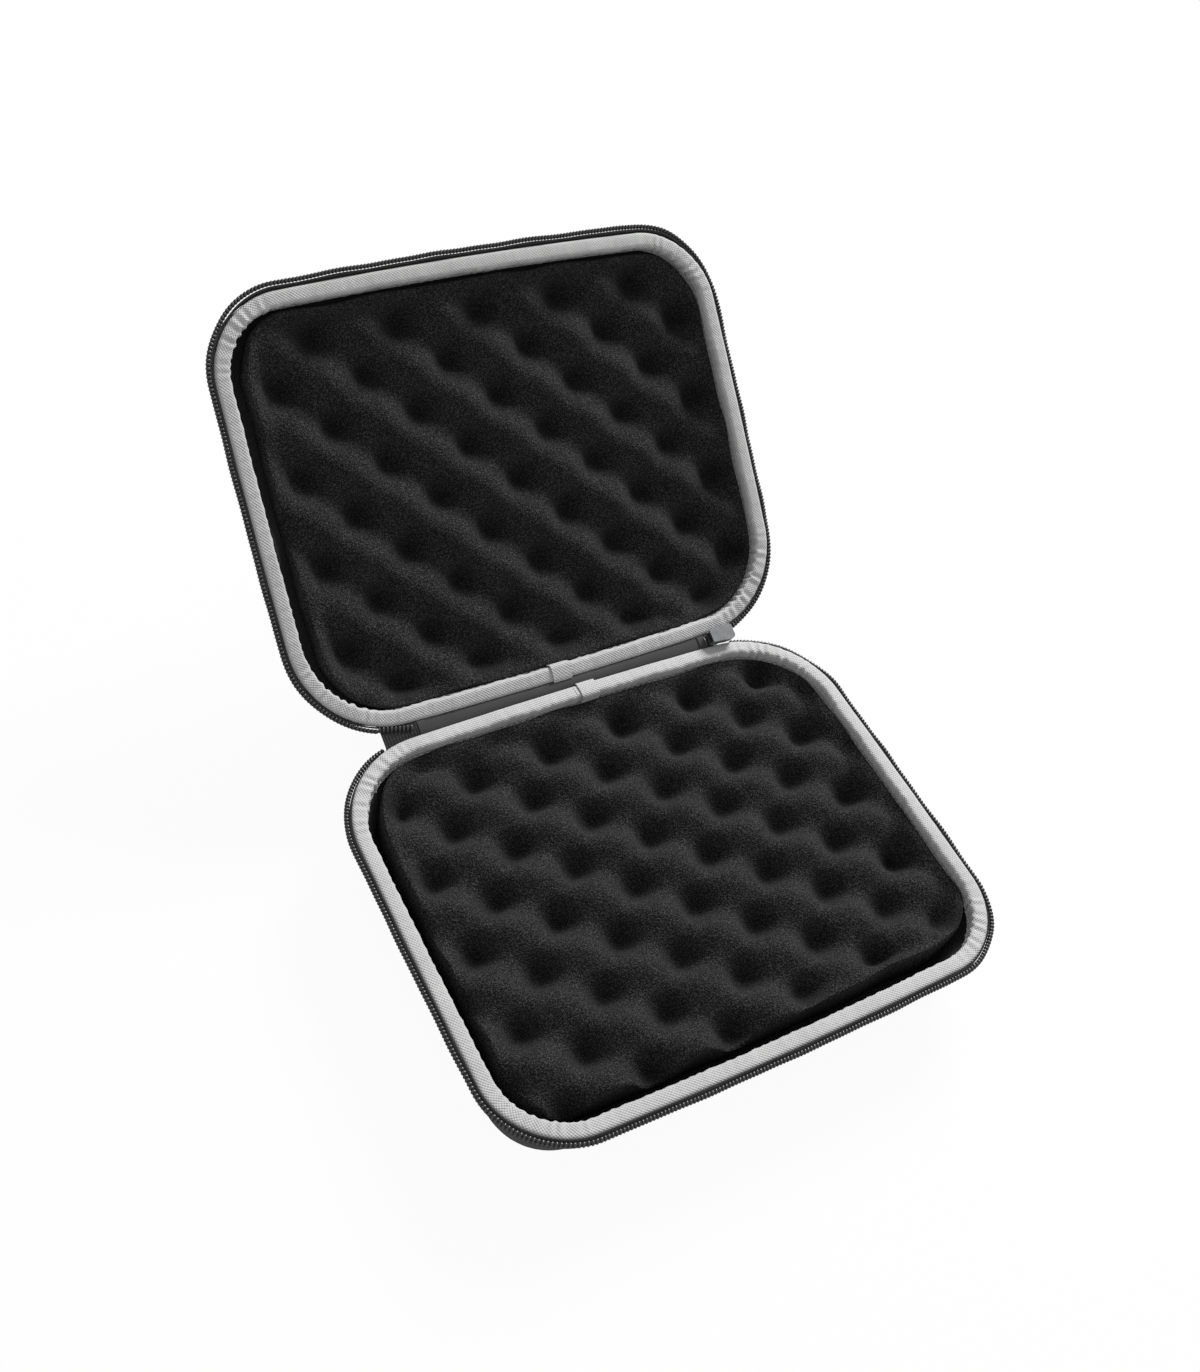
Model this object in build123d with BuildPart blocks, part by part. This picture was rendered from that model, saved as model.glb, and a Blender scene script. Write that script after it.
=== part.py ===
# Zip-up hard case for a small field monitor, shown open.
# Millimetres and degrees. X runs along the hinge, +Y points to the hinge, +Z is up.
# The origin is the middle of the base half's flat underside, which stands on the table.

from build123d import *
import os
from math import cos, radians, sin, sqrt

os.makedirs("parts", exist_ok=True)

# Rim of either half, measured over the grey binding
rim_width = 240.0
rim_length = 183.8
front_corner = 33.3
hinge_corner = 40.9
front_bow = 3.0
hinge_bow = 2.5
side_bow = 0.95

# Depth of each half from its flat outside face to the top of its binding
base_depth = 38.0
lid_depth = 23.0
side_draft = 17.0
outside_edge = 17.0
inside_bevel = 9.0

# Layers of the wall, from the outside in
shell_wall = 4.6
lining_cloth = 0.5
binding_cloth = 0.8
binding_drop = 7.0
cloth_gap = 0.05

# Hinge
rim_gap = 8.12
axis_behind = 3.18
open_angle = 140.55
band_cloth = 0.8
band_left = -74.0
band_right = 73.0
band_hem = 3.0
fold_gap = 0.3
zip_end_inset = 1.2  # the closed end keeps this much more off the hinge walls

# Zip
tape_cloth = 1.0
tape_drop = 7.0
tape_rise = 2.5
zip_left = -91.0
zip_right = 86.5
tooth_pitch = 1.6
tooth_length = 1.0
tooth_height = 2.9
tooth_depth = 2.0
tooth_mid_rise = 2.3
tooth_mesh = 1.2
tooth_mesh_length = 0.6

# Egg-crate foam
base_foam_pitch = 37.6
lid_foam_pitch = 38.7
foam_land = 1.4
foam_peak_top = 6.0
foam_pit_floor = 8.0
base_foam_peak = 6.5
base_foam_pit = 8.5
lid_foam_peak = 5.0
lid_foam_pit = 5.0
foam_gap = 0.3
base_foam_turn = 2.7
lid_foam_turn = 0.0
base_foam_seat = (-15.4, -0.8)  # one pit of the relief, and the others follow from it
lid_foam_seat = (-6.7, 4.6)
foam_below_rim = 4.3
foam_front = -81.5
foam_back = 84.0
foam_front_corner = 24.0
foam_hinge_corner = 32.0
base_foam_left = -104.5
base_foam_right = 109.5
lid_foam_left = -105.5
lid_foam_right = 109.5

# Slider and pull tab, with distances out from the hinge line towards the outside of the case
inner_band_out = 3.4
outer_band_out = 4.6
slider_middle_out = -0.15
slider_right = 86.0
slider_length = 12.0
slider_nose = 4.5
slider_post = 1.8
slider_width = 7.2
slider_tail = 6.0
slider_plate = 1.0
slider_channel = 2.6
slider_lip = 0.7
slider_round = 1.6
bridge_wire = 1.3
bridge_span = 7.0
bridge_height = 3.8
pull_length = 24.0
pull_width = 5.0
pull_sheet = 1.4
pull_eye = 2.6
pull_bar = 1.0
pull_clearance = 0.35

# Where each half stands: its own Z runs from its flat outside face to its open mouth
hinge_y = rim_length / 2 + axis_behind
hinge_z = base_depth + rim_gap / 2

# How far out the slider's outside plate and the pull tab's own bar lie
slider_outside = slider_middle_out + slider_channel / 2 + slider_plate
pull_pivot = slider_outside + (bridge_height - bridge_wire) / 2


def swung(plane, opening):
    """A plane carried round the hinge line by an opening angle."""
    hinge = Location((0, hinge_y, hinge_z))
    return Plane(hinge * Location((0, 0, 0), (-opening, 0, 0)) * hinge.inverse() * plane.location)


closed_lid_top = base_depth + rim_gap + lid_depth
base_place = Plane.XY
lid_place = swung(Plane(origin=(0, 0, closed_lid_top), x_dir=(-1, 0, 0), z_dir=(0, 0, -1)), open_angle)
fold_place = swung(Plane(origin=(0, hinge_y, hinge_z), x_dir=(1, 0, 0), z_dir=(0, 0, 1)), open_angle / 2)


def save(piece, name):
    """Label one finished piece and write it under its own name."""
    piece.label = name
    export_step(piece, f"parts/{name}.step")


def half_outline(plane, grow):
    """The outline of a half's rim on a plane, moved outward by grow."""
    side = rim_width / 2 + grow
    end = rim_length / 2 + grow
    with BuildSketch(plane) as outline:
        with BuildLine():
            ThreePointArc((-side, -end), (0, -end - front_bow), (side, -end))
            ThreePointArc((side, -end), (side + side_bow, 0), (side, end))
            ThreePointArc((side, end), (0, end + hinge_bow), (-side, end))
            ThreePointArc((-side, end), (-side - side_bow, 0), (-side, -end))
        make_face()
        fillet(outline.vertices().group_by(Axis.Y)[0], front_corner + grow)
        fillet(outline.vertices().group_by(Axis.Y)[-1], hinge_corner + grow)
    return outline.sketch


def rim_block(place, bottom, top, grow):
    """An upright block of the rim's outline between two levels."""
    with BuildPart() as block:
        extrude(half_outline(place.offset(bottom), grow), amount=top - bottom)
    return block.part


def tray_block(place, depth, floor, top, grow, edge=0.0, bevel=0.0):
    """A block that is upright beside the binding and drawn in below it, down to its floor."""
    bend = place.offset(depth - binding_drop)
    with BuildPart() as block:
        extrude(half_outline(bend, grow), amount=floor - depth + binding_drop)
        walls = block.faces().filter_by(lambda face: abs(face.normal_at().dot(place.z_dir)) < 0.5)
        draft(walls, bend, -side_draft)
        floor_edges = block.edges().group_by(Axis(place.origin, place.z_dir))[0]
        if edge > 0:
            fillet(floor_edges, edge)
        if bevel > 0:
            chamfer(floor_edges, bevel)
        extrude(half_outline(bend, grow), amount=top - depth + binding_drop)
    return block.part


def world_side(place):
    """1 where a half's own X runs with the world's, -1 where it runs against it."""
    return 1 if place.x_dir.X > 0 else -1


def hinge_stretch(place, depth, left, right):
    """A block over the hinge side of a half's rim, from left to right in world X."""
    middle = world_side(place) * (left + right) / 2
    with BuildPart() as stretch:
        with BuildSketch(place.offset(depth - 2 * tape_drop)):
            with Locations((middle, rim_length / 2)):
                Rectangle(right - left, hinge_corner)
        extrude(amount=4 * tape_drop)
    return stretch.part


def make_shell(place, depth):
    """The pressed foam-board shell with its outside cloth, an open tray with drafted walls."""
    outer = -binding_cloth
    inner = outer - shell_wall
    with BuildPart() as shell:
        add(tray_block(place, depth, 0, depth - binding_cloth, outer, edge=outside_edge))
        add(tray_block(place, depth, shell_wall, depth, inner, bevel=inside_bevel), mode=Mode.SUBTRACT)
    return shell.part


def make_lining(place, depth):
    """The thin knitted lining on the inside of the shell."""
    outer = -binding_cloth - shell_wall - cloth_gap
    inner = outer - lining_cloth
    under = shell_wall + cloth_gap
    floor = under + lining_cloth
    top = depth - binding_cloth - cloth_gap
    with BuildPart() as lining:
        add(tray_block(place, depth, under, top, outer, bevel=inside_bevel))
        add(tray_block(place, depth, floor, depth, inner, bevel=inside_bevel), mode=Mode.SUBTRACT)
    return lining.part


def make_binding(place, depth):
    """The woven binding folded over the rim, as a channel with two legs."""
    leg = -binding_cloth - shell_wall - lining_cloth - 3 * cloth_gap
    bottom = depth - binding_drop
    channel_top = depth - binding_cloth + cloth_gap
    with BuildPart() as channel:
        add(rim_block(place, bottom, channel_top, cloth_gap - binding_cloth))
        add(rim_block(place, bottom, channel_top, leg), mode=Mode.SUBTRACT)
    with BuildPart() as binding:
        add(rim_block(place, bottom, depth, 0))
        add(rim_block(place, bottom, depth, leg - binding_cloth), mode=Mode.SUBTRACT)
        add(channel.part, mode=Mode.SUBTRACT)
    return binding.part


def rim_strip(place, bottom, top):
    """A strip of tape thickness round the outside of the rim."""
    with BuildPart() as strip:
        add(rim_block(place, bottom, top, tape_cloth))
        add(rim_block(place, bottom, top, cloth_gap), mode=Mode.SUBTRACT)
    return strip.part


def make_zip_tape(place, depth):
    """The woven tape sewn round the outside of the rim, open along the hinge."""
    strip = rim_strip(place, depth - tape_drop, depth + tape_rise)
    hinge_side = hinge_stretch(place, depth, zip_left, zip_right)
    with BuildPart() as tape:
        add(strip)
        add(hinge_side, mode=Mode.SUBTRACT)
    return tape.part


def make_hinge_margin(place, depth):
    """The part of the outer hinge band that is sewn flat to the hinge wall of one half."""
    strip = rim_strip(place, depth - tape_drop, depth - binding_cloth)
    hinge_side = hinge_stretch(place, depth, band_left, band_right)
    with BuildPart() as margin:
        add(strip)
        add(hinge_side, mode=Mode.INTERSECT)
    return margin.part


def make_coil(place, depth):
    """One row of coil turns, each a short bar lying against the tape and square to the rim."""
    grow = tape_cloth + cloth_gap + tooth_depth / 2
    path = half_outline(place.offset(depth + tooth_mid_rise), grow).face().outer_wire()
    side = world_side(place)
    count = int(path.length / tooth_pitch)
    seats = []
    for number in range(count):
        share = (number + 0.5) / count
        middle = path.position_at(share)
        local = place.to_local_coords(middle)
        over_hinge = zip_left < side * local.X < zip_right and local.Y > 0
        if not over_hinge:
            seats.append(Plane(origin=middle, x_dir=path.tangent_at(share), z_dir=place.z_dir))
    with BuildPart() as coil:
        with Locations(*seats):
            Wedge(
                tooth_length,
                tooth_depth,
                tooth_height,
                tooth_length / 2,
                0,
                tooth_length / 2,
                tooth_height,
                rotation=(0, 0, 180),
            )
    return coil.part


def foam_seats(first_row_shift, pitch, turn, seat):
    """Places of the peaks, or of the pits, of the egg-crate relief: staggered rows."""
    half = pitch / 2
    rows = int(rim_length / pitch) + 2
    columns = int(rim_width / pitch / 2) + 2
    seats = []
    for row in range(-rows, rows + 1):
        for column in range(-columns, columns + 1):
            shift = half * ((row + first_row_shift) % 2)
            place = Vector(column * pitch + shift, row * half, 0).rotate(Axis.Z, turn)
            place = place + Vector(*seat, 0)
            inside = abs(place.X) < rim_width / 2 and abs(place.Y) < rim_length / 2
            if inside:
                seats.append((place.X, place.Y))
    return seats


def foam_bump(place, level, turn, seats, base, end, height, mode):
    """Four-sided peaks, or pits where the height is negative, set out on one level."""
    lean = (base - end) / 2
    far = base - lean
    up = 1 if height > 0 else -1
    with Locations(place.offset(level)):
        with Locations(*[Location((x, y, height / 2), (0, 0, turn)) for x, y in seats]):
            Wedge(base, abs(height), base, lean, lean, far, far, rotation=(90 * up, 0, 0), mode=mode)


def make_foam(place, depth, pitch, turn, seat, left, right, peak, pit):
    """The convoluted foam block: square-cornered peaks and pits in turn, on a thick pad."""
    wall = binding_cloth + shell_wall + lining_cloth + 2 * cloth_gap + foam_gap
    floor = shell_wall + lining_cloth + 2 * cloth_gap
    middle = depth - foam_below_rim - peak
    cell = pitch / 2 - foam_land
    peaks = foam_seats(1, pitch, turn, seat)
    pits = foam_seats(0, pitch, turn, seat)
    side = world_side(place)
    with BuildPart() as foam:
        add(tray_block(place, depth, floor, depth, -wall, bevel=inside_bevel))
        split(bisect_by=place.offset(middle), keep=Keep.BOTTOM)
        foam_bump(place, middle, turn, peaks, cell, foam_peak_top, peak, Mode.ADD)
        foam_bump(place, middle, turn, pits, cell, foam_pit_floor, -pit, Mode.SUBTRACT)
        with BuildSketch(place) as cut:
            with Locations((side * (left + right) / 2, (foam_back + foam_front) / 2)):
                Rectangle(right - left, foam_back - foam_front)
            fillet(cut.vertices().group_by(Axis.Y)[0], foam_front_corner)
            fillet(cut.vertices().group_by(Axis.Y)[-1], foam_hinge_corner)
        extrude(amount=depth, mode=Mode.INTERSECT)
    return foam.part


def rim_shift(x):
    """How far the hinge side of the rim lies behind its corner-to-corner line, at one X."""
    side = rim_width / 2
    bow = hinge_bow * (1 - (x / side) ** 2)
    round_start = side - hinge_corner
    past = max(abs(x) - round_start, 0)
    return bow - (hinge_corner - sqrt(hinge_corner**2 - past**2))


def fold_gap_at(x, out, grow):
    """Half the gap between the two hinge walls in the fold's frame, at X and at a distance out."""
    half_open = radians(open_angle / 2)
    wall_out = -axis_behind + rim_shift(x) + grow
    wall_up = (out - wall_out * cos(half_open)) / sin(half_open)
    return wall_up * cos(half_open) - wall_out * sin(half_open)


def fold_plane(out):
    """A plane across the valley of the hinge, its own Z pointing out of the case."""
    origin = fold_place.origin + fold_place.y_dir * out
    return Plane(origin=origin, x_dir=fold_place.x_dir, z_dir=fold_place.y_dir)


def fold_strip(left, right, out, grow, thickness):
    """A strip along the hinge whose long edges stay a little inside the two walls."""
    middle = (left + right) / 2
    left_half = fold_gap_at(left, out, grow) - fold_gap
    middle_half = fold_gap_at(middle, out, grow) - fold_gap
    right_half = fold_gap_at(right, out, grow) - fold_gap
    with BuildPart() as strip:
        with BuildSketch(fold_plane(out)):
            with BuildLine():
                ThreePointArc((left, left_half), (middle, middle_half), (right, right_half))
                Line((right, right_half), (right, -right_half))
                ThreePointArc((right, -right_half), (middle, -middle_half), (left, -left_half))
                Line((left, -left_half), (left, left_half))
            make_face()
        extrude(amount=thickness)
    return strip.part


def make_inner_band():
    """The smooth inner hinge band, with a turned hem at each end."""
    with BuildPart() as band:
        add(fold_strip(band_left, band_right, inner_band_out, 0, band_cloth))
        for end in (band_left, band_right - band_hem):
            hem = fold_strip(end, end + band_hem, inner_band_out - band_cloth, 0, band_cloth)
            add(hem)
    return band.part


def make_outer_band():
    """The outer hinge band where it crosses from one half's wall to the other's."""
    return fold_strip(band_left, band_right, outer_band_out, tape_cloth, band_cloth)


def make_left_zip_end():
    """The joined tapes at the closed end of the zip, left of the hinge band."""
    left = zip_left + fold_gap
    right = band_left - fold_gap
    return fold_strip(left, right, inner_band_out, zip_end_inset, tape_cloth)


def make_left_zip_coil():
    """The last turns of both rows of the coil, meshed on the closed end of the tapes."""
    run = band_left - zip_left - 2 * tooth_pitch
    count = int(run / tooth_pitch)
    row_middle = tooth_height / 2 - tooth_mesh / 2
    with BuildPart() as coil:
        for row in (-1, 1):
            shift = tooth_pitch / 4 * row
            with BuildSketch(fold_plane(inner_band_out + tape_cloth)):
                with Locations(((zip_left + band_left) / 2 + shift, row * row_middle)):
                    with GridLocations(tooth_pitch, 1, count, 1):
                        Rectangle(tooth_mesh_length, tooth_height)
            extrude(amount=tooth_depth)
    return coil.part


def make_right_zip_end():
    """The joined tapes at the other end of the zip, which run into the slider's channel."""
    run = slider_right - slider_nose - band_right - fold_gap
    middle = band_right + fold_gap + run / 2
    with BuildPart() as tape:
        with BuildSketch(fold_plane(slider_middle_out - tape_cloth / 2)):
            with Locations((middle, 0)):
                Rectangle(run, slider_tail - 2 * slider_lip)
        extrude(amount=tape_cloth)
    return tape.part


def slider_outline(plane, grow=0.0):
    """The slider's outline seen square on: wide at the mouth, narrow at the tail."""
    right = slider_right
    left = slider_right - slider_length
    with BuildSketch(plane) as outline:
        with BuildLine():
            Polyline(
                (left, slider_tail / 2),
                (right - slider_nose, slider_width / 2),
                (right, slider_width / 2),
                (right, -slider_width / 2),
                (right - slider_nose, -slider_width / 2),
                (left, -slider_tail / 2),
                close=True,
            )
        make_face()
        fillet(outline.vertices().group_by(Axis.X)[-1], slider_round)
        if grow:
            offset(amount=grow)
    return outline


def make_slider_body():
    """The cast slider: two plates with side lips, joined by the post that parts the teeth."""
    top = slider_middle_out - slider_channel / 2 - slider_plate
    bottom = slider_middle_out + slider_channel / 2
    with BuildPart() as body:
        for plate, lip in ((top, slider_plate), (bottom, -slider_lip)):
            plate_face = slider_outline(fold_plane(plate)).sketch
            extrude(plate_face, amount=slider_plate)
            rim = slider_outline(fold_plane(plate + lip)).sketch
            hole = slider_outline(fold_plane(plate + lip), -slider_lip).sketch
            extrude(rim - hole, amount=slider_lip)
        with BuildSketch(fold_plane(slider_middle_out)):
            with Locations((slider_right - slider_length / 2, 0)):
                Rectangle(slider_length + slider_width, slider_tail - 2 * slider_lip)
        extrude(amount=slider_channel / 2, both=True, mode=Mode.SUBTRACT)
        with BuildSketch(fold_plane(slider_middle_out)):
            with BuildLine():
                Polyline(
                    (slider_right - slider_nose, 0),
                    (slider_right - slider_nose / 2, slider_post / 2),
                    (slider_right, 0),
                    (slider_right - slider_nose / 2, -slider_post / 2),
                    close=True,
                )
            make_face()
        extrude(amount=slider_channel / 2, both=True)
    return body.part


def make_slider_bridge():
    """The bent wire on the slider's outside plate that holds the pull tab."""
    seat = slider_outside
    middle = slider_right - slider_length / 2
    half = bridge_span / 2
    with BuildPart() as bridge:
        with BuildSketch(fold_place):
            with BuildLine():
                Polyline(
                    (middle - half, seat),
                    (middle - half, seat + bridge_height),
                    (middle + half, seat + bridge_height),
                    (middle + half, seat),
                    (middle + half - bridge_wire, seat),
                    (middle + half - bridge_wire, seat + bridge_height - bridge_wire),
                    (middle - half + bridge_wire, seat + bridge_height - bridge_wire),
                    (middle - half + bridge_wire, seat),
                    close=True,
                )
            make_face()
        extrude(amount=bridge_wire / 2, both=True)
    return bridge.part


def make_pull_tab():
    """The flat pull tab, hanging from the bridge by its eye."""
    middle = slider_right - slider_length / 2
    bridge_top = slider_outside + bridge_height
    bridge_corner = sqrt((bridge_span / 2) ** 2 + (bridge_top - pull_pivot) ** 2)
    eye_length = bridge_corner + pull_clearance - pull_bar / 2
    across = Plane(
        origin=fold_place.origin + fold_place.x_dir * (middle - pull_sheet / 2),
        x_dir=fold_place.y_dir,
        z_dir=fold_place.x_dir,
    )
    with BuildPart() as pull:
        with BuildSketch(across):
            with Locations((pull_pivot - pull_bar / 2 + pull_length / 2, 0)):
                Rectangle(pull_length, pull_width)
            with Locations((pull_pivot + pull_bar / 2 + eye_length / 2, 0)):
                Rectangle(eye_length, pull_eye, mode=Mode.SUBTRACT)
        extrude(amount=pull_sheet)
        ends = pull.edges().filter_by(Axis(pull.part.center(), fold_place.x_dir))
        far = ends.group_by(Axis(fold_place.origin, fold_place.y_dir))[-1]
        fillet(far, pull_width / 2 - pull_clearance)
    return pull.part


for half_name, place, depth in (("base", base_place, base_depth), ("lid", lid_place, lid_depth)):
    save(make_shell(place, depth), f"{half_name}_shell")
    save(make_lining(place, depth), f"{half_name}_lining")
    save(make_binding(place, depth), f"{half_name}_rim_binding")
    save(make_zip_tape(place, depth), f"{half_name}_zip_tape")
    save(make_hinge_margin(place, depth), f"{half_name}_hinge_margin")
    save(make_coil(place, depth), f"{half_name}_zip_coil")

base_foam = make_foam(
    base_place,
    base_depth,
    base_foam_pitch,
    base_foam_turn,
    base_foam_seat,
    base_foam_left,
    base_foam_right,
    base_foam_peak,
    base_foam_pit,
)
lid_foam = make_foam(
    lid_place,
    lid_depth,
    lid_foam_pitch,
    lid_foam_turn,
    lid_foam_seat,
    lid_foam_left,
    lid_foam_right,
    lid_foam_peak,
    lid_foam_pit,
)
save(base_foam, "base_foam")
save(lid_foam, "lid_foam")
save(make_inner_band(), "hinge_band_inner")
save(make_outer_band(), "hinge_band_outer")
save(make_left_zip_end(), "left_zip_end_tape")
save(make_left_zip_coil(), "left_zip_end_coil")
save(make_right_zip_end(), "right_zip_end_tape")
save(make_slider_body(), "slider_body")
save(make_slider_bridge(), "slider_bridge")
save(make_pull_tab(), "slider_pull_tab")
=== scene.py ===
import logging
import math
from collections.abc import Callable
from dataclasses import dataclass, field
from enum import Enum

import bpy
import numpy as np
from mathutils import Matrix, Vector


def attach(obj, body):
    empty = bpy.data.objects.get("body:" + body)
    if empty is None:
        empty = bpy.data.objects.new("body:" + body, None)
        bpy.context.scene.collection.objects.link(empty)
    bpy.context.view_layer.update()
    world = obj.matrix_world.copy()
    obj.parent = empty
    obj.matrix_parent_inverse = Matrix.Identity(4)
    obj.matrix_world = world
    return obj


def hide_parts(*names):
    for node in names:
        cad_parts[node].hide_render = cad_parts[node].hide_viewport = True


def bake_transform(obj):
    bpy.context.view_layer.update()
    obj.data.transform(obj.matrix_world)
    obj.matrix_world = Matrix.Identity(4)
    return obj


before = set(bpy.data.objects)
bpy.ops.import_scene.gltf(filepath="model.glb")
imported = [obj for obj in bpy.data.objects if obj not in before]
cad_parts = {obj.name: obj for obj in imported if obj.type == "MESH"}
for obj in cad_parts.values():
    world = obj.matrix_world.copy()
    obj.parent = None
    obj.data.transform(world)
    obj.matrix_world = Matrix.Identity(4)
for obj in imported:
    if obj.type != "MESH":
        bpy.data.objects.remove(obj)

LOG = logging.getLogger("monitor_case")
MM = 0.001

Material = bpy.types.Material
Piece = bpy.types.Object
Socket = bpy.types.NodeSocket
Rule = Callable[[np.ndarray], np.ndarray]


class Weave(Enum):
    """How the threads of a cloth cross."""

    PLAIN = "plain"
    TWILL = "twill"
    RIBBED = "ribbed"


# Shader building


class Shader:
    """A material under construction, with short calls for its nodes."""

    def __init__(self, name: str) -> None:
        """Start a material with an empty node tree.

        Args:
            name: The material's name.
        """
        self.material = bpy.data.materials.new(name)
        self.material.use_nodes = True
        self.tree = self.material.node_tree
        self.tree.nodes.clear()
        self.output = self.tree.nodes.new("ShaderNodeOutputMaterial")

    def node(self, kind: str, **settings: object) -> bpy.types.Node:
        """Add one node and set its properties.

        Args:
            kind: The node's type name without its ShaderNode prefix.
            **settings: Properties to set on the node.

        Returns:
            The new node.
        """
        made = self.tree.nodes.new("ShaderNode" + kind)
        for key, value in settings.items():
            setattr(made, key, value)
        return made

    def link(self, source: Socket, target: Socket) -> None:
        """Join one socket to another."""
        self.tree.links.new(source, target)

    def maths(self, operation: str, *values: object) -> Socket:
        """Add a Math node.

        Args:
            operation: The node's operation.
            *values: Numbers or sockets, in order.

        Returns:
            The node's value socket.
        """
        made = self.node("Math", operation=operation)
        for index, value in enumerate(values):
            if isinstance(value, (int, float)):
                made.inputs[index].default_value = value
            else:
                self.link(value, made.inputs[index])
        return made.outputs[0]

    def noise(self, vector: Socket, size: float, detail: float = 3.0) -> Socket:
        """Add noise whose lumps are about one size.

        Args:
            vector: The coordinates, in metres.
            size: The size of a lump, in metres.
            detail: The number of finer layers.

        Returns:
            The noise value socket, from 0 to 1.
        """
        made = self.node("TexNoise")
        made.inputs["Scale"].default_value = 1.0 / size
        made.inputs["Detail"].default_value = detail
        self.link(vector, made.inputs["Vector"])
        return made.outputs["Fac"]

    def ramp(self, value: Socket, low: tuple, high: tuple) -> Socket:
        """Turn a value from 0 to 1 into a colour between two.

        Args:
            value: The value socket.
            low: The colour at 0.
            high: The colour at 1.

        Returns:
            The colour socket.
        """
        made = self.node("Mix", data_type="RGBA")
        self.link(value, made.inputs["Factor"])
        made.inputs[6].default_value = (*low, 1.0)
        made.inputs[7].default_value = (*high, 1.0)
        return made.outputs[2]

    def bump(self, height: Socket, depth: float, strength: float) -> Socket:
        """Turn a height from 0 to 1 into a normal.

        Args:
            height: The height socket.
            depth: What a height of 1 stands for, in metres.
            strength: How much of it shows.

        Returns:
            The normal socket.
        """
        made = self.node("Bump")
        made.inputs["Distance"].default_value = depth
        made.inputs["Strength"].default_value = strength
        self.link(height, made.inputs["Height"])
        return made.outputs["Normal"]

    def surface(self, **inputs: object) -> None:
        """Add the principled shader and join it to the output.

        Args:
            **inputs: Values or sockets by input name, with underscores for spaces.
        """
        made = self.node("BsdfPrincipled")
        for key, value in inputs.items():
            target = made.inputs[key.replace("_", " ")]
            if isinstance(value, Socket):
                self.link(value, target)
            else:
                target.default_value = value
        self.link(made.outputs[0], self.output.inputs["Surface"])


@dataclass(frozen=True)
class ClothFinish:
    """A woven cloth whose threads follow the piece's own UV map or its object coordinates."""

    name: str
    dark: tuple
    light: tuple
    pitch: float
    weave: Weave = Weave.PLAIN
    follows_uv: bool = True
    relief: float = 0.00012
    strength: float = 0.5
    sheen: float = 0.15
    roughness: float = 0.92
    stain: float = 0.35
    stain_size: float = 0.018
    weave_share: float = 0.62
    fuzz_share: float = 0.3

    def threads(self, shader: Shader, u: Socket, v: Socket) -> Socket:
        """Work out the height of the weave from 0 to 1.

        Args:
            shader: The material under construction.
            u: Distance along the cloth, in metres.
            v: Distance across the cloth, in metres.

        Returns:
            The height socket.
        """
        turn = 2 * math.pi / self.pitch
        along = shader.maths("SINE", shader.maths("MULTIPLY", u, turn))
        across = shader.maths("SINE", shader.maths("MULTIPLY", v, turn))
        if self.weave is Weave.PLAIN:
            both = shader.maths("MULTIPLY", along, across)
            return shader.maths("MULTIPLY_ADD", both, 0.5, 0.5)
        if self.weave is Weave.RIBBED:
            fine = shader.maths("MULTIPLY", across, 0.3)
            both = shader.maths("ADD", shader.maths("MULTIPLY", along, 0.7), fine)
            return shader.maths("MULTIPLY_ADD", both, 0.5, 0.5)
        slant = shader.maths("MULTIPLY", shader.maths("ADD", u, v), turn)
        half = shader.maths("MULTIPLY", across, 0.5)
        both = shader.maths("ADD", shader.maths("SINE", slant), half)
        return shader.maths("MULTIPLY_ADD", both, 0.33, 0.5)

    def build(self) -> Material:
        """Make the material.

        Returns:
            The finished material.
        """
        shader = Shader(self.name)
        place = shader.node("TexCoord").outputs["UV" if self.follows_uv else "Object"]
        parts = shader.node("SeparateXYZ")
        shader.link(place, parts.inputs[0])
        if self.follows_uv:
            u, v = parts.outputs[0], parts.outputs[1]
        else:
            u = shader.maths("MULTIPLY_ADD", parts.outputs[2], 0.8, parts.outputs[0])
            v = shader.maths("MULTIPLY_ADD", parts.outputs[2], 0.6, parts.outputs[1])
        weave = self.threads(shader, u, v)
        fuzz = shader.noise(place, self.pitch * 0.8, 2.0)
        blotch = shader.noise(place, self.stain_size, 3.0)
        height = shader.maths("MULTIPLY_ADD", fuzz, 0.5, weave)
        fuzzy = shader.maths("MULTIPLY", fuzz, self.fuzz_share)
        tone = shader.maths("MULTIPLY_ADD", weave, self.weave_share, fuzzy)
        even = shader.maths("MULTIPLY", tone, 1 - self.stain)
        tone = shader.maths("MULTIPLY_ADD", blotch, self.stain, even)
        shader.surface(
            Base_Color=shader.ramp(tone, self.dark, self.light),
            Roughness=self.roughness,
            Sheen_Weight=self.sheen,
            Sheen_Roughness=0.5,
            Specular_IOR_Level=0.25,
            Normal=shader.bump(height, self.relief, self.strength),
        )
        return shader.material


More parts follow.
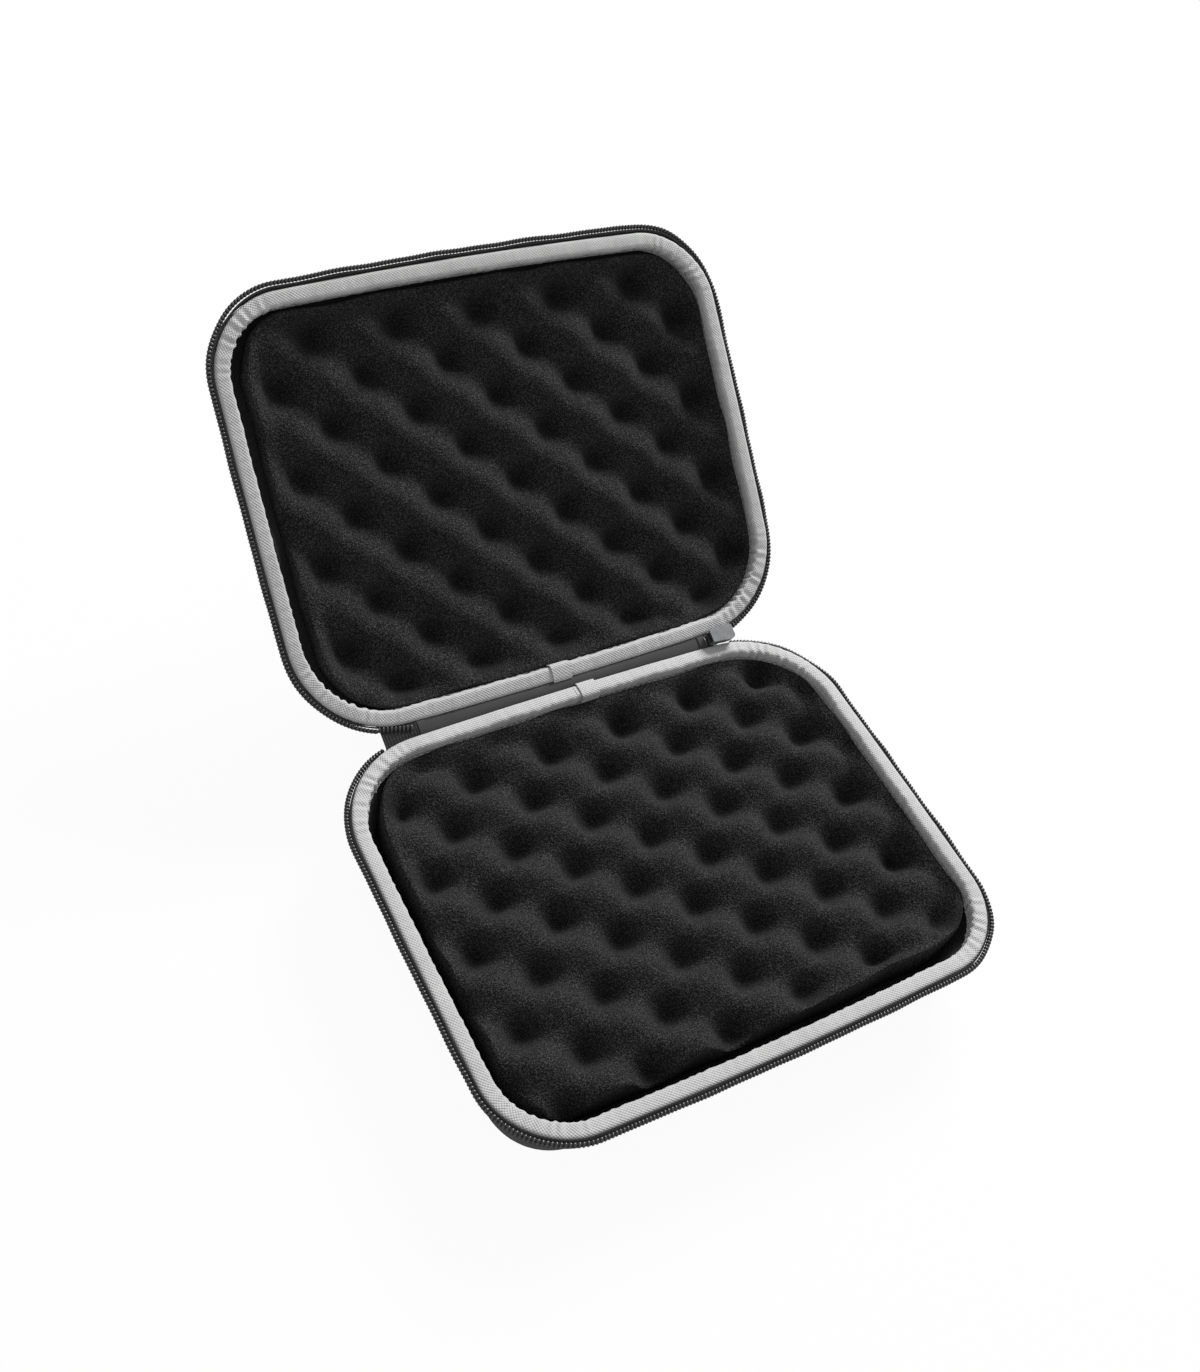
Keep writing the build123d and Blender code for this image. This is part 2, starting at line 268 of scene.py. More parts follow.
@dataclass(frozen=True)
class FoamFinish:
    """Open-cell foam, matt and grainy, with painted shade that leaves it paler on its peaks and
    near black deep in its pits.
    """

    name: str = "foam_charcoal"
    dark: tuple = (0.003, 0.003, 0.0031)
    light: tuple = (0.066, 0.066, 0.066)
    cell: float = 0.001
    relief: float = 0.0005
    painted_pit_shade: float = 0.6
    pit_power: float = 1.6
    lump_size: float = 0.014
    lump_share: float = 0.16
    pore_share: float = 0.16
    speck_share: float = 0.75
    speck_from: float = 0.42
    speck_to: float = 0.74

    def build(self) -> Material:
        """Make the material.

        Returns:
            The finished material.
        """
        shader = Shader(self.name)
        place = shader.node("TexCoord").outputs["Object"]
        cells = shader.node("TexVoronoi")
        cells.inputs["Scale"].default_value = 1.0 / self.cell
        shader.link(place, cells.inputs["Vector"])
        grain = shader.noise(place, self.cell * 0.55, 0.0)
        lumps = shader.noise(place, self.lump_size, 4.0)
        pores = shader.maths("MULTIPLY", cells.outputs["Distance"], 0.8)
        height = shader.maths("ADD", grain, pores)
        speck = shader.node("MapRange", interpolation_type="SMOOTHSTEP")
        shader.link(grain, speck.inputs["Value"])
        speck.inputs["From Min"].default_value = self.speck_from
        speck.inputs["From Max"].default_value = self.speck_to
        base = shader.maths("MULTIPLY", pores, self.pore_share)
        tone = shader.maths("MULTIPLY_ADD", speck.outputs[0], self.speck_share, base)
        tone = shader.maths("MULTIPLY_ADD", lumps, self.lump_share, tone)
        # Painted shade: darken the foam by how deep each place lies in a pit or how low it lies on
        # the cut wall.
        hollow = shader.node("Attribute", attribute_name="hollow").outputs["Fac"]
        deep = shader.maths("POWER", hollow, self.pit_power)
        deep = shader.maths("MULTIPLY", deep, self.painted_pit_shade)
        tone = shader.maths("MULTIPLY", tone, shader.maths("SUBTRACT", 1.0, deep))
        shader.surface(
            Base_Color=shader.ramp(tone, self.dark, self.light),
            Roughness=1.0,
            Sheen_Weight=0.03,
            Sheen_Roughness=0.6,
            Specular_IOR_Level=0.05,
            Normal=shader.bump(height, self.relief, 0.7),
        )
        return shader.material


@dataclass(frozen=True)
class PlasticFinish:
    """Moulded nylon with a soft shine and faint scuffs."""

    name: str
    colour: tuple
    pale: tuple
    roughness: float = 0.38
    scuff_size: float = 0.0009
    scuff_depth: float = 0.00004
    wear_size: float = 0.006

    def build(self) -> Material:
        """Make the material.

        Returns:
            The finished material.
        """
        shader = Shader(self.name)
        place = shader.node("TexCoord").outputs["Object"]
        scuff = shader.noise(place, self.scuff_size, 3.0)
        wear = shader.maths("POWER", shader.noise(place, self.wear_size, 2.0), 2.0)
        tone = shader.maths("MULTIPLY_ADD", scuff, 0.5, shader.maths("MULTIPLY", wear, 0.4))
        shader.surface(
            Base_Color=shader.ramp(tone, self.colour, self.pale),
            Roughness=self.roughness,
            Specular_IOR_Level=0.6,
            Normal=shader.bump(scuff, self.scuff_depth, 0.5),
        )
        return shader.material


@dataclass(frozen=True)
class MetalFinish:
    """Cast metal under a satin grey paint."""

    name: str = "slider_satin_grey"
    dark: tuple = (0.16, 0.165, 0.17)
    light: tuple = (0.33, 0.335, 0.34)
    metallic: float = 0.6
    cast_size: float = 0.0006
    cast_depth: float = 0.00005
    wear_size: float = 0.004
    roughness: float = 0.32
    rough_spread: float = 0.2

    def build(self) -> Material:
        """Make the material.

        Returns:
            The finished material.
        """
        shader = Shader(self.name)
        place = shader.node("TexCoord").outputs["Object"]
        cast = shader.noise(place, self.cast_size, 3.0)
        wear = shader.noise(place, self.wear_size, 3.0)
        shader.surface(
            Base_Color=shader.ramp(wear, self.dark, self.light),
            Metallic=self.metallic,
            Roughness=shader.maths("MULTIPLY_ADD", cast, self.rough_spread, self.roughness),
            Normal=shader.bump(cast, self.cast_depth, 0.4),
        )
        return shader.material


class Finishes:
    """Every material of the case, made once."""

    def __init__(self) -> None:
        """Make the materials."""
        self.binding = ClothFinish(
            "binding_light_grey",
            (0.34, 0.342, 0.341),
            (0.82, 0.822, 0.816),
            pitch=0.0015,
            relief=0.0003,
            strength=0.8,
            sheen=0.05,
            stain=0.25,
        ).build()
        self.thread = ClothFinish(
            "sewing_thread_grey",
            (0.4, 0.4, 0.4),
            (0.75, 0.75, 0.74),
            pitch=0.0004,
            follows_uv=False,
        ).build()
        self.tape = ClothFinish(
            "zip_tape_black",
            (0.003, 0.003, 0.0033),
            (0.034, 0.034, 0.035),
            pitch=0.0009,
            weave=Weave.TWILL,
            relief=0.0002,
            strength=0.7,
        ).build()
        self.shell = ClothFinish(
            "shell_cloth_charcoal",
            (0.008, 0.008, 0.009),
            (0.05, 0.05, 0.052),
            pitch=0.0011,
            follows_uv=False,
            relief=0.0002,
            strength=0.6,
        ).build()
        self.lining = ClothFinish(
            "lining_knit_black",
            (0.006, 0.006, 0.007),
            (0.03, 0.03, 0.032),
            pitch=0.0009,
            follows_uv=False,
            relief=0.00015,
            strength=0.5,
        ).build()
        self.gusset = ClothFinish(
            "zip_end_tape_ribbed",
            (0.003, 0.003, 0.0033),
            (0.05, 0.05, 0.052),
            pitch=0.0014,
            weave=Weave.RIBBED,
            relief=0.0003,
            strength=0.8,
        ).build()
        self.band = ClothFinish(
            "hinge_ribbon_grey",
            (0.018, 0.018, 0.019),
            (0.1, 0.1, 0.1),
            pitch=0.0006,
            weave=Weave.RIBBED,
            relief=0.0001,
            strength=0.5,
        ).build()
        self.coil = PlasticFinish(
            "coil_nylon_black", (0.018, 0.018, 0.019), (0.09, 0.09, 0.092), 0.3
        ).build()
        self.foam = FoamFinish().build()
        self.metal = MetalFinish().build()


# Mesh work shared by the pieces


def deselect() -> None:
    """Leave object mode with nothing selected."""
    if bpy.context.mode != "OBJECT":
        bpy.ops.object.mode_set(mode="OBJECT")
    bpy.ops.object.select_all(action="DESELECT")


def pick(piece: Piece) -> None:
    """Select one piece alone and make it active."""
    deselect()
    piece.select_set(True)
    bpy.context.view_layer.objects.active = piece


def grid_patch(name: str, columns: int, rows: int) -> Piece:
    """Add a unit grid with a UV map, ready to be shaped.

    Args:
        name: The piece's name.
        columns: Faces along X.
        rows: Faces along Y.

    Returns:
        The grid, from 0 to 1 along X and Y.
    """
    deselect()
    bpy.ops.mesh.primitive_grid_add(
        x_subdivisions=columns, y_subdivisions=rows, size=1.0, location=(0.5, 0.5, 0)
    )
    bpy.ops.object.transform_apply(location=True)
    piece = bpy.context.object
    piece.name = name
    piece.data.name = name
    return piece


def ball(name: str, segments: int = 10, rings: int = 8, radius: float = 1.0) -> Piece:
    """Add a ball, ready to be shaped.

    Args:
        name: The piece's name.
        segments: Faces round it.
        rings: Faces from pole to pole.
        radius: Its radius, in metres.

    Returns:
        The ball.
    """
    deselect()
    bpy.ops.mesh.primitive_uv_sphere_add(segments=segments, ring_count=rings, radius=radius)
    piece = bpy.context.object
    piece.name = name
    return piece


def points_of(piece: Piece) -> np.ndarray:
    """Read a piece's vertices as rows of X, Y, Z."""
    flat = np.empty(len(piece.data.vertices) * 3)
    piece.data.vertices.foreach_get("co", flat)
    return flat.reshape(-1, 3)


def shape(piece: Piece, rule: Rule) -> None:
    """Move every vertex of a piece by one rule.

    Args:
        piece: The piece to shape.
        rule: Takes the vertices as rows of X, Y, Z and returns their new places.
    """
    piece.data.vertices.foreach_set("co", rule(points_of(piece)).ravel())
    piece.data.update()


def map_cloth(piece: Piece, length: float, width: float) -> None:
    """Scale the piece's UV map so that it reads in metres along and across the cloth."""
    layer = piece.data.uv_layers.active.data
    flat = np.empty(len(layer) * 2)
    layer.foreach_get("uv", flat)
    flat = flat.reshape(-1, 2) * np.array([length, width])
    layer.foreach_set("uv", flat.ravel())


def tidy(piece: Piece, merge: float = 0.00001, angle: float = 40.0) -> None:
    """Merge doubled vertices, turn faces outward and shade smooth.

    Args:
        piece: The piece to finish.
        merge: Vertices nearer than this become one, in metres.
        angle: Edges sharper than this stay sharp, in degrees.
    """
    pick(piece)
    bpy.ops.object.mode_set(mode="EDIT")
    bpy.ops.mesh.select_all(action="SELECT")
    bpy.ops.mesh.remove_doubles(threshold=merge)
    bpy.ops.mesh.normals_make_consistent(inside=False)
    bpy.ops.object.mode_set(mode="OBJECT")
    bpy.ops.object.shade_smooth_by_angle(angle=math.radians(angle))


def apply_modifier(piece: Piece, kind: str, **settings: object) -> None:
    """Add one modifier, set it and apply it.

    Args:
        piece: The piece to change.
        kind: The modifier's type.
        **settings: The modifier's properties.
    """
    pick(piece)
    made = piece.modifiers.new(kind.lower(), kind)
    for key, value in settings.items():
        setattr(made, key, value)
    bpy.ops.object.modifier_apply(modifier=made.name)


def repeat(piece: Piece, count: int, pitch: float) -> None:
    """Repeat a piece along X.

    Args:
        piece: The piece to repeat.
        count: How many there are in the end.
        pitch: The distance from one to the next, in metres.
    """
    apply_modifier(
        piece,
        "ARRAY",
        count=count,
        use_relative_offset=False,
        use_constant_offset=True,
        constant_offset_displace=(pitch, 0, 0),
    )


def smooth(piece: Piece) -> None:
    """Shade a round piece smooth all over."""
    pick(piece)
    bpy.ops.object.shade_smooth()


def dress(piece: Piece, material: Material, body: str) -> None:
    """Give a piece its material and body, and report it.

    Args:
        piece: The finished piece.
        material: Its material.
        body: The body it moves with, or an empty name to leave it unattached.
    """
    piece.data.materials.clear()
    piece.data.materials.append(material)
    if body:
        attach(piece, body)
    LOG.info("%s: %d faces", piece.name, len(piece.data.polygons))


def ripple(along: np.ndarray, waves: tuple, seed: float = 0.0) -> np.ndarray:
    """Add up slow waves, so that cloth isn't perfectly even.

    Args:
        along: Distance along the cloth, in metres.
        waves: Pairs of wavelength and height, in metres.
        seed: Shifts the waves, so that two pieces differ.

    Returns:
        The height at each point, in metres.
    """
    total = np.zeros_like(along)
    for number, (length, height) in enumerate(waves):
        phase = seed * (number + 1.7) + number * number
        stray = 0.7 * np.sin(along / length * 1.3 + seed)
        total += height * np.sin(2 * np.pi * along / length + phase + stray)
    return total


def follow(loop: np.ndarray, share: np.ndarray) -> tuple[np.ndarray, np.ndarray]:
    """Follow an outline by the share of its points.

    Args:
        loop: Rows of outward distance and height.
        share: From 0 at the first row to 1 at the last.

    Returns:
        The outward distances and the heights.
    """
    place = share * (len(loop) - 1)
    index = np.arange(len(loop))
    return np.interp(place, index, loop[:, 0]), np.interp(place, index, loop[:, 1])


# The rim that both halves share


@dataclass
class Rim:
    """The outline of a half's rim, from the middle of its hinge side towards its own +X."""

    width: float = 240.0 * MM
    length: float = 183.8 * MM
    front_corner: float = 33.3 * MM
    hinge_corner: float = 40.9 * MM
    front_bow: float = 3.0 * MM
    hinge_bow: float = 2.5 * MM
    side_bow: float = 0.95 * MM
    samples: int = 3000
    along: np.ndarray = field(init=False)
    points: np.ndarray = field(init=False)
    normals: np.ndarray = field(init=False)

    def __post_init__(self) -> None:
        """Trace the outline once and measure the distance along it."""
        x, y, nx, ny = self.trace()
        x = x + nx * self.side_bow * (1 - (2 * y / self.length) ** 2)
        bow = np.where(ny > 0, self.hinge_bow, self.front_bow)
        y = y + ny * bow * (1 - (2 * x / self.width) ** 2)
        steps = np.hypot(np.diff(x), np.diff(y))
        self.along = np.concatenate([[0.0], np.cumsum(steps)])
        self.points = np.column_stack([x, y])
        self.normals = np.column_stack([nx, ny])

    def trace(self) -> tuple:
        """Follow the rounded rectangle without its bows.

        Returns:
            X, Y and the outward normal's X and Y at each sample.
        """
        side = self.width / 2
        end = self.length / 2
        corners = (
            (side - self.hinge_corner, end - self.hinge_corner, self.hinge_corner, 90),
            (side - self.front_corner, self.front_corner - end, self.front_corner, 0),
            (self.front_corner - side, self.front_corner - end, self.front_corner, -90),
            (self.hinge_corner - side, end - self.hinge_corner, self.hinge_corner, -180),
        )
        turns = np.linspace(0, 1, self.samples // 8)
        runs = []
        for x, y, radius, start in corners:
            angle = np.radians(start - 90 * turns)
            nx, ny = np.cos(angle), np.sin(angle)
            runs.append((x + radius * nx, y + radius * ny, nx, ny))
        pieces = []
        previous = (0.0, end)
        for run in runs:
            pieces.append(self.straight(previous, (run[0][0], run[1][0]), (run[2][0], run[3][0])))
            pieces.append(run)
            previous = (run[0][-1], run[1][-1])
        pieces.append(self.straight(previous, (0.0, end), (0.0, 1.0)))
        return tuple(np.concatenate([piece[index] for piece in pieces]) for index in range(4))

    def straight(self, start: tuple, stop: tuple, normal: tuple) -> tuple:
        """Sample a straight side between two corners, without its ends."""
        share = np.linspace(0, 1, self.samples // 8)[1:-1]
        x = start[0] + (stop[0] - start[0]) * share
        y = start[1] + (stop[1] - start[1]) * share
        return x, y, np.full_like(x, normal[0]), np.full_like(x, normal[1])

    @property
    def perimeter(self) -> float:
        """The distance once round the rim."""
        return float(self.along[-1])

    def at(self, along: np.ndarray, out: np.ndarray, up: np.ndarray) -> np.ndarray:
        """Place points by their distance along the rim, outward from it and above it.

        Args:
            along: Distance along the rim, in metres.
            out: Distance outward, in metres.
            up: Distance above the rim, in metres.

        Returns:
            The points in the half's own axes, with the rim at height 0.
        """
        turn = np.mod(along, self.perimeter)
        columns = (*self.points.T, *self.normals.T)
        x, y, nx, ny = (np.interp(turn, self.along, column) for column in columns)
        return np.column_stack([x + nx * out, y + ny * out, up])

    def corner_share(self, along: np.ndarray) -> np.ndarray:
        """How far each place is into a corner: 1 in the corner's middle, 0 on the straights."""
        turn = np.mod(along, self.perimeter)
        nx = np.interp(turn, self.along, self.normals[:, 0])
        ny = np.interp(turn, self.along, self.normals[:, 1])
        return np.clip(2 * np.abs(nx * ny), 0, 1)

    def where(self, x: float) -> float:
        """The distance along the rim at which the hinge side reaches one of the half's own X."""
        reach = self.samples // 4
        part = slice(reach) if x >= 0 else slice(-reach, None)
        return float(np.interp(x, self.points[part, 0], self.along[part]))

    def hinge_shift(self, x: np.ndarray) -> np.ndarray:
        """How far the hinge side lies behind its corner-to-corner line at each X."""
        straight = self.width / 2 - self.hinge_corner
        past = np.maximum(np.abs(x) - straight, 0)
        drop = self.hinge_corner - np.sqrt(self.hinge_corner**2 - past**2)
        return self.hinge_bow * (1 - (2 * x / self.width) ** 2) - drop


@dataclass
class Hinge:
    """The line that the lid turns about, and the frame of the fold at half the lid's angle."""

    behind: float = 3.18 * MM
    rim_gap: float = 8.12 * MM
    base_depth: float = 38.0 * MM
    lid_depth: float = 23.0 * MM
    opening: float = math.radians(140.55)

    def line(self, rim: Rim) -> Vector:
        """A point on the hinge line."""
        return Vector((0, rim.length / 2 + self.behind, self.base_depth + self.rim_gap / 2))

    def fold_axes(self) -> tuple[Vector, Vector, Vector]:
        """The fold's axes: along the hinge, outward from the case, and from base to lid."""
        half = self.opening / 2
        out = Vector((0, math.cos(half), -math.sin(half)))
        across = Vector((0, math.sin(half), math.cos(half)))
        return Vector((1, 0, 0)), out, across

    def fold_points(
        self, rim: Rim, along: np.ndarray, out: np.ndarray, across: np.ndarray
    ) -> np.ndarray:
        """Turn fold coordinates into places in the case."""
        parts = zip((along, out, across), self.fold_axes())
        moved = sum(np.outer(amount, np.array(axis)) for amount, axis in parts)
        return np.array(self.line(rim)) + moved


@dataclass
class Half:
    """One half of the case, with the plane that its own axes lie in."""

    name: str
    depth: float
    rim: Rim
    hinge: Hinge
    is_lid: bool

    def matrix(self) -> Matrix:
        """The half's own axes and floor, as they stand in the case."""
        if not self.is_lid:
            return Matrix.Identity(4)
        top = self.hinge.base_depth + self.hinge.rim_gap + self.depth
        closed = Matrix.Translation((0, 0, top)) @ Matrix.Rotation(math.pi, 4, "Y")
        line = Matrix.Translation(self.hinge.line(self.rim))
        return line @ Matrix.Rotation(-self.hinge.opening, 4, "X") @ line.inverted() @ closed

    def stand(self, local: np.ndarray) -> np.ndarray:
        """Turn the half's own coordinates into places in the case."""
        turn = np.array(self.matrix())
        return local @ turn[:3, :3].T + turn[:3, 3]

    def wrap(self, flat: np.ndarray) -> np.ndarray:
        """Wrap flat cloth round the rim: X along it, Y outward, Z above its top."""
        local = self.rim.at(flat[:, 0], flat[:, 1], flat[:, 2])
        local[:, 2] += self.depth
        return self.stand(local)

    def own_x(self, x: float) -> float:
        """A world X as the half's own X."""
        return -x if self.is_lid else x

    def facing(self, along: np.ndarray) -> tuple[np.ndarray, np.ndarray]:
        """The rim's outward direction at each place: its share to the right and to the hinge."""
        turn = np.mod(along, self.rim.perimeter)
        right = self.own_x(1.0) * np.interp(turn, self.rim.along, self.rim.normals[:, 0])
        hinge = np.interp(turn, self.rim.along, self.rim.normals[:, 1])
        return right, hinge

    def zip_run(self, left: float, right: float) -> tuple[float, float]:
        """Where the zip starts and stops along the rim, between its two ends at the hinge."""
        first, last = sorted((self.own_x(left), self.own_x(right)), reverse=True)
        return self.rim.where(first), self.rim.where(last)


# Pieces


@dataclass
class Binding:
    """The light grey woven binding that is folded over a rim and sewn through both legs."""

    half: Half
    width: float = 6.85 * MM
    drop: float = 7.0 * MM
    cloth: float = 0.8 * MM
    fold_round: float = 1.5 * MM
    crown: float = 0.25 * MM
    stitch_depth: float = 5.4 * MM
    stitch_pitch: float = 3.1 * MM
    stitch_length: float = 2.3 * MM
    stitch_thick: float = 0.5 * MM
    stitch_proud: float = 0.12 * MM
    stitch_sink: float = 0.4 * MM
    sink_spread: float = 0.9 * MM
    tuck_pitch: float = 5.4 * MM
    tuck: float = 0.34 * MM
    tuck_level: float = 0.6
    straight_pucker: float = 0.15
    worked_rows: float = 33.5
    columns: int = 1500
    lap_start: float = 2.0 * MM
    lap_length: float = 9.0 * MM
    lap_lift: float = 0.75 * MM

    def profile(self) -> np.ndarray:
        """The binding's outline seen end on, from the inner leg over the top and back inside.

        Returns:
            Rows of outward distance and height, closed.
        """
        r = self.fold_round
        inner = -self.width
        drop, cloth = self.drop, self.cloth
        turn = np.radians(np.linspace(180, 90, 6))
        turn_out = np.radians(np.linspace(90, 0, 6))
        rows = (
            np.column_stack([np.full(8, inner), np.linspace(-drop, -r, 9)[:-1]]),
            np.column_stack([inner + r + r * np.cos(turn), -r + r * np.sin(turn)]),
            np.column_stack([np.linspace(inner + r, -r, 8)[1:-1], np.zeros(6)]),
            np.column_stack([-r + r * np.cos(turn_out), -r + r * np.sin(turn_out)]),
            np.column_stack([np.zeros(5), np.linspace(-r, -drop, 6)[1:]]),
            np.array([(-cloth, -drop), (-cloth, -cloth), (inner + cloth, -cloth)]),
            np.array([(inner + cloth, -drop), (inner, -drop)]),
        )
        return np.vstack(rows)

    def cloth_rule(self, flat: np.ndarray) -> np.ndarray:
        """Turn the unit grid into the binding, with its crown, puckers and stitched dip."""
        profile = self.profile()
        out, up = follow(profile, flat[:, 1])
        visible = flat[:, 1] * (len(profile) - 1) < self.worked_rows
        along = flat[:, 0] * self.half.rim.perimeter
        seed = 3.1 if self.half.is_lid else 0.4
        across = np.clip(-out / self.width, 0, 1)
        loose = ripple(along, ((0.034, 0.12 * MM), (0.021, 0.1 * MM), (0.0093, 0.05 * MM)), seed)
        gathers = ripple(along, ((0.0052, 0.3 * MM), (0.0037, 0.17 * MM)), seed)
        pucker = (self.straight_pucker + self.half.rim.corner_share(along)) * gathers
        shift = ripple(along, ((0.037, 0.9), (0.017, 0.6)), seed)
        pulled = np.abs(np.sin(np.pi * along / self.tuck_pitch + shift))
        scallop = self.tuck * (pulled - self.tuck_level)
        crown = self.crown * np.sin(np.pi * across)
        inner_leg = np.clip((across - 0.7) / 0.3, 0, 1)
        depth = np.clip(-up / self.drop, 0, 1)
        dip = np.exp(-(((-up - self.stitch_depth) / self.sink_spread) ** 2))
        up = up + visible * (crown + (loose + pucker) * (0.35 + 0.65 * across) * (1 - depth))
        out = out + visible * inner_leg * (0.8 * loose + pucker + scallop + self.stitch_sink * dip)
        return np.column_stack([along, out, up])

    def strip(self, name: str, columns: int, length: float, rule: Rule) -> Piece:
        """Make a strip of the binding's cloth on the rim.

        Args:
            name: The piece's name.
            columns: Faces along the strip.
            length: The strip's length, in metres.
            rule: Lays the unit grid along the rim.

        Returns:
            The strip.
        """
        piece = grid_patch(name, columns, len(self.profile()) - 1)
        shape(piece, rule)
        map_cloth(piece, length, 2 * self.drop + self.width)
        shape(piece, self.half.wrap)
        tidy(piece, angle=60)
        return piece

    def build(self, finishes: Finishes) -> None:
        """Make the binding, its row of stitches and its lap.

        Args:
            finishes: The case's materials.
        """
        name = self.half.name
        perimeter = self.half.rim.perimeter
        piece = self.strip(f"{name}_woven_binding", self.columns, perimeter, self.cloth_rule)
        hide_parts(f"{name}_rim_binding")
        dress(piece, finishes.binding, name)
        self.stitches(finishes)
        self.lap(finishes)

    def stitches(self, finishes: Finishes) -> None:
        """Make the sewn line on the inner leg, one short thread after another."""
        piece = ball(f"{self.half.name}_stitches", 6, 5, 0.5)
        size = np.array([self.stitch_length, self.stitch_thick, self.stitch_thick])
        shape(piece, lambda p: p[:, [2, 0, 1]] * size)
        count = int(self.half.rim.perimeter / self.stitch_pitch)
        pitch = self.half.rim.perimeter / count
        repeat(piece, count, pitch)
        first = np.array([pitch / 2, self.stitch_proud - self.width, -self.stitch_depth])
        shape(piece, lambda p: p + first)
        shape(piece, self.half.wrap)
        tidy(piece, merge=0.000001)
        dress(piece, finishes.thread, self.half.name)

    def lap(self, finishes: Finishes) -> None:
        """Make the binding's folded end, which laps over its start at the hinge side."""
        start = self.half.own_x(self.lap_start)

        def lapped(flat: np.ndarray) -> np.ndarray:
            """Lay the lap a little outside the binding."""
            out, up = follow(self.profile(), flat[:, 1])
            middle = -self.width / 2
            out = middle + (out - middle) * (1 + 2 * self.lap_lift / self.width)
            crown = self.crown * np.sin(np.pi * np.clip(-out / self.width, 0, 1))
            up = np.maximum(up + self.lap_lift * (up > -self.fold_round) + crown, -self.drop)
            return np.column_stack([start + flat[:, 0] * self.lap_length, out, up])

        piece = self.strip(f"{self.half.name}_binding_lap", 6, self.lap_length, lapped)
        dress(piece, finishes.binding, self.half.name)


@dataclass
class ZipRow:
    """One half's zip tape and its row of coil turns, open along the hinge."""

    half: Half
    left: float = -91.0 * MM
    right: float = 86.5 * MM
    tape_thick: float = 0.7 * MM
    tape_gap: float = 0.15 * MM
    tape_drop: float = 7.0 * MM
    tape_rise: float = 0.1 * MM
    tape_bevel: float = 0.1 * MM
    tape_levels: tuple = (-5.0 * MM, -3.5 * MM, -2.0 * MM, -0.8 * MM)
    free_share: float = 0.6
    filler_inset: tuple = (0.22 * MM, 0.3 * MM)
    turn_pitch: float = 1.6 * MM
    turn_width: float = 1.05 * MM
    turn_depth: float = 2.1 * MM
    turn_height: float = 2.3 * MM
    turn_square: float = 0.62
    turn_head: float = 0.18
    turn_slant: float = 0.22
    turn_rise: float = -0.9 * MM
    turn_out: float = 2.05 * MM
    far_sink: float = 1.1 * MM
    far_tuck: float = 0.45 * MM
    hinge_sink: float = 1.3
    lid_flare: float = 0.8 * MM

    def lean(self, flat: np.ndarray, share: np.ndarray) -> np.ndarray:
        """Let the tape's free edge lie as it has set: tucked at the right, flared at the front.

        Args:
            flat: Places along the rim, outward from it and above it.
            share: How free each place is, from 0 where it is sewn to 1 at the coil.

        Returns:
            The moved places.
        """
        right, hinge = self.half.facing(flat[:, 0])
        far = np.clip(right, 0, 1) ** 2
        sunk = far
        if not self.half.is_lid:
            far = np.clip(far + np.clip(hinge, 0, 1) ** 2, 0, 1)
            sunk = far + self.hinge_sink * np.clip(hinge, 0, 1) ** 2
        flare = np.clip(-hinge, 0, 1) ** 2 * self.lid_flare * self.half.is_lid
        waves = ((0.041, 0.14 * MM), (0.023, 0.08 * MM))
        wander = ripple(flat[:, 0], waves, 2.6 + self.half.is_lid)
        moved = flat.copy()
        moved[:, 1] += share * (flare - far * self.far_tuck + wander)
        moved[:, 2] += share * (wander - sunk * self.far_sink)
        return moved

    def run(self) -> tuple[float, float]:
        """Where the row starts along the rim and how long it is."""
        start, stop = self.half.zip_run(self.left, self.right)
        return start, stop - start

    def build(self, finishes: Finishes) -> None:
        """Make the tape, the filler thread and the coil turns.

        Args:
            finishes: The case's materials.
        """
        name = self.half.name
        girth = 2 * (self.tape_drop + self.tape_rise)
        piece = self.strip(f"{name}_woven_zip_tape", 900, 12, girth, 35, self.tape)
        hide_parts(f"{name}_zip_tape")
        dress(piece, finishes.tape, name)
        girth = 2 * (self.turn_depth + self.turn_height - 2 * sum(self.filler_inset))
        piece = self.strip(f"{name}_coil_filler", 700, 10, girth, 50, self.filler)
        dress(piece, finishes.tape, name)
        self.coil(finishes)

    def tape(self, share: np.ndarray) -> tuple[np.ndarray, np.ndarray, np.ndarray]:
        """Follow the tape's outline: outward distance, height and how free it is."""
        inner = self.tape_gap
        outer = self.tape_gap + self.tape_thick
        bevel = self.tape_bevel
        loop = [(inner, -self.tape_drop), (outer, -self.tape_drop)]
        loop += [(outer, level) for level in self.tape_levels]
        loop += [(outer - bevel, self.tape_rise), (inner + bevel, self.tape_rise)]
        loop += [(inner, level) for level in reversed(self.tape_levels)]
        loop.append(loop[0])
        out, up = follow(np.array(loop), share)
        return out, up, np.clip(1 + up / (self.free_share * self.tape_drop), 0, 1)

    def filler(self, share: np.ndarray) -> tuple[np.ndarray, np.ndarray, np.ndarray]:
        """Follow the outline of the filler thread that runs inside the turns."""
        angle = share * 2 * np.pi
        inset_out, inset_up = self.filler_inset
        out = self.turn_out + (self.turn_depth / 2 - inset_out) * np.cos(angle)
        up = self.turn_rise + (self.turn_height / 2 - inset_up) * np.sin(angle)
        return out, up, np.ones_like(share)

    def strip(
        self, name: str, columns: int, rows: int, girth: float, angle: float, outline: Callable
    ) -> Piece:
        """Make a closed strip along the row.

        Args:
            name: The piece's name.
            columns: Faces along the strip.
            rows: Faces round its outline.
            girth: The distance round its outline, in metres.
            angle: Edges sharper than this stay sharp, in degrees.
            outline: Gives outward distance, height and freedom from a share of the way round.

        Returns:
            The strip, with both ends filled.
        """
        start, length = self.run()
        piece = grid_patch(name, columns, rows)

        def laid(flat: np.ndarray) -> np.ndarray:
            """Lay the strip along the rim."""
            out, up, free = outline(flat[:, 1])
            return self.lean(np.column_stack([start + flat[:, 0] * length, out, up]), free)

